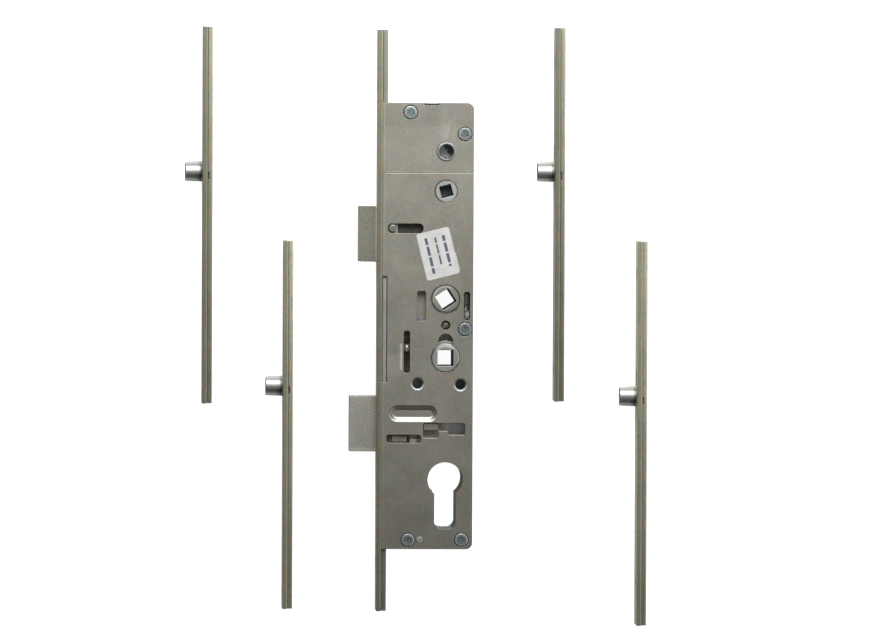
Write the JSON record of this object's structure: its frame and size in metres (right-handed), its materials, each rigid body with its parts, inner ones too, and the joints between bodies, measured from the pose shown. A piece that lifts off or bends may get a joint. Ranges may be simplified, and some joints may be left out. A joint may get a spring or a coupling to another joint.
{
  "type": "multipoint door lock",
  "caption": "Multipoint door lock: case with latch, deadbolt, lever hubs and cylinder opening on a strip faceplate, with roller stretches of the same strip beside it.",
  "frame": {"origin": "middle of the layout's box, on the surface that the strips' edges stand on", "axes": "+X from the faceplate's front to the back of the case, +Y up the door, +Z out of the case cover"},
  "size_m": [0.2358, 0.3044, 0.02],
  "materials": {
    "plated_case": "satin zinc plated sheet",
    "plated_strip": "satin zinc plated strip",
    "plated_lever": "satin plated steel",
    "bright_zinc": "bright zinc plated, fine machined",
    "cast_hub": "die cast, matt silver",
    "sintered_bolt": "sintered steel, fine grain",
    "spring_steel": "drawn spring steel",
    "greased_link": "greased steel, brownish",
    "roller_chrome": "polished, turned",
    "label_paper": "matt paper label, no lettering"
  },
  "bodies": {
    "case": {"faceplate": "plated_strip", "case_tray": "plated_case", "cover_upper": "plated_case", "cover_lower": "plated_case", "cover_screws": "bright_zinc", "case_pillars": "bright_zinc", "locating_rivet": "plated_case", "fixing_bush": "bright_zinc", "case_rivets": "bright_zinc", "rail_guides": "bright_zinc", "label": "label_paper", "stop_pin": "plated_lever", "hub_leaf_spring": "spring_steel", "lever_pivot_pin": "bright_zinc", "locking_lever_pin": "bright_zinc", "locking_spring": "spring_steel", "latch_spring": "spring_steel", "strip_plate_1": "plated_strip", "strip_plate_2": "plated_strip", "strip_plate_3": "plated_strip", "strip_plate_4": "plated_strip", "strip_guides_1": "bright_zinc", "strip_guides_2": "bright_zinc", "strip_guides_3": "bright_zinc", "strip_guides_4": "bright_zinc"},
    "drive": {"drive_rail": "plated_strip", "drive_slide": "greased_link"},
    "upper_hub": {"lever_hub_upper": "cast_hub"},
    "lower_hub": {"lever_hub_lower": "cast_hub"},
    "latch": {"latch_head": "sintered_bolt", "latch_tail": "plated_lever", "latch_stud": "bright_zinc"},
    "latch_lever_body": {"latch_lever": "plated_lever"},
    "snib": {"snib_hub": "cast_hub"},
    "bolt": {"deadbolt": "sintered_bolt", "bolt_tail": "plated_lever", "bolt_pad": "greased_link"},
    "locking_lever_body": {"locking_lever": "plated_lever"},
    "strip_drive_1": {"strip_rail_1": "plated_strip", "roller_pin_1": "bright_zinc"},
    "roller_body_1": {"roller_1": "roller_chrome"},
    "strip_drive_2": {"strip_rail_2": "plated_strip", "roller_pin_2": "bright_zinc"},
    "roller_body_2": {"roller_2": "roller_chrome"},
    "strip_drive_3": {"strip_rail_3": "plated_strip", "roller_pin_3": "bright_zinc"},
    "roller_body_3": {"roller_3": "roller_chrome"},
    "strip_drive_4": {"strip_rail_4": "plated_strip", "roller_pin_4": "bright_zinc"},
    "roller_body_4": {"roller_4": "roller_chrome"}
  },
  "joints": [
    {"name": "drive_slide_joint", "type": "slide", "parent": "case", "child": "drive", "axis": [0, 1, 0], "range_m": [0, 0.01152]},
    {"name": "upper_hub_turn", "type": "hinge", "parent": "case", "child": "upper_hub", "pos_m": [0.0149, 0.014, 0.01], "axis": [0, 0, 1], "range_deg": [-33, 0]},
    {"name": "latch_slide", "type": "slide", "parent": "case", "child": "latch", "axis": [1, 0, 0], "range_m": [0, 0.0095], "stiffness_N_per_m": 400, "deforming": ["latch_spring"]},
    {"name": "latch_lever_turn", "type": "hinge", "parent": "case", "child": "latch_lever_body", "pos_m": [-0.0001, 0.006, 0.005], "axis": [0, 0, 1], "range_deg": [-15.13, 0]},
    {"name": "lower_hub_turn", "type": "hinge", "parent": "case", "child": "lower_hub", "pos_m": [0.0149, -0.016, 0.01], "axis": [0, 0, 1], "range_deg": [-38.37, 0]},
    {"name": "snib_turn", "type": "hinge", "parent": "case", "child": "snib", "pos_m": [0.0149, 0.0689, 0.01], "axis": [0, 0, 1], "range_deg": [-60, 0]},
    {"name": "bolt_slide", "type": "slide", "parent": "case", "child": "bolt", "axis": [1, 0, 0], "range_m": [0, 0.0135]},
    {"name": "locking_lever_turn", "type": "hinge", "parent": "case", "child": "locking_lever_body", "pos_m": [-0.0081, -0.09, 0.005], "axis": [0, 0, 1], "range_deg": [0, 12], "stiffness_Nm_per_rad": 0.05},
    {"name": "strip_slide_1", "type": "slide", "parent": "case", "child": "strip_drive_1", "axis": [0, 1, 0], "range_m": [0, 0.01152]},
    {"name": "roller_turn_1", "type": "hinge", "parent": "strip_drive_1", "child": "roller_body_1", "pos_m": [-0.1131, 0.0785, 0.01], "axis": [1, 0, 0], "continuous": true},
    {"name": "strip_slide_2", "type": "slide", "parent": "case", "child": "strip_drive_2", "axis": [0, 1, 0], "range_m": [0, 0.01152]},
    {"name": "roller_turn_2", "type": "hinge", "parent": "strip_drive_2", "child": "roller_body_2", "pos_m": [-0.0718, -0.0306, 0.01], "axis": [1, 0, 0], "continuous": true},
    {"name": "strip_slide_3", "type": "slide", "parent": "case", "child": "strip_drive_3", "axis": [0, 1, 0], "range_m": [0, 0.01152]},
    {"name": "roller_turn_3", "type": "hinge", "parent": "strip_drive_3", "child": "roller_body_3", "pos_m": [0.0663, 0.0789, 0.01], "axis": [1, 0, 0], "continuous": true},
    {"name": "strip_slide_4", "type": "slide", "parent": "case", "child": "strip_drive_4", "axis": [0, 1, 0], "range_m": [0, 0.01152]},
    {"name": "roller_turn_4", "type": "hinge", "parent": "strip_drive_4", "child": "roller_body_4", "pos_m": [0.1087, -0.0354, 0.01], "axis": [1, 0, 0], "continuous": true}
  ],
  "couplings": [
    {"joint": "upper_hub_turn", "follows": "drive_slide_joint", "rad_per_m": -50},
    {"joint": "latch_lever_turn", "follows": "latch_slide", "rad_per_m": -27.8},
    {"joint": "lower_hub_turn", "follows": "latch_slide", "rad_per_m": -70.5},
    {"joint": "strip_slide_1", "follows": "drive_slide_joint", "ratio": 1},
    {"joint": "strip_slide_2", "follows": "drive_slide_joint", "ratio": 1},
    {"joint": "strip_slide_3", "follows": "drive_slide_joint", "ratio": 1},
    {"joint": "strip_slide_4", "follows": "drive_slide_joint", "ratio": 1}
  ]
}
